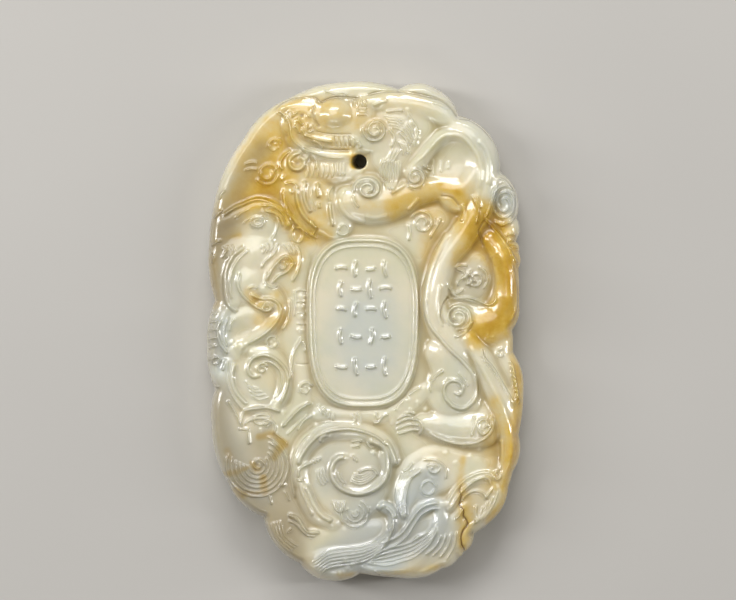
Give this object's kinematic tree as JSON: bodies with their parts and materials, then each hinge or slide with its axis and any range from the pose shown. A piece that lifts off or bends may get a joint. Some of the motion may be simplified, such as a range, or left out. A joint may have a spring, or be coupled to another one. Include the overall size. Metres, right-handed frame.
{
  "type": "jade pendant",
  "caption": "Oval jade pendant, carved in relief with a dragon, a small dragon, clouds and waves around a smooth cartouche, with a cord hole. It lies on its flat back.",
  "frame": {"origin": "middle of the flat back, which the pendant lies on", "axes": "+Z out of the carved face, +Y toward the cord hole, +X to the right of someone who looks at the face with the hole up"},
  "size_m": [0.0443, 0.0699, 0.0087],
  "materials": {
    "jade": "polished nephrite, pale greenish cream with russet skin"
  },
  "bodies": {
    "root": {"pendant": "jade"}
  },
  "joints": []
}
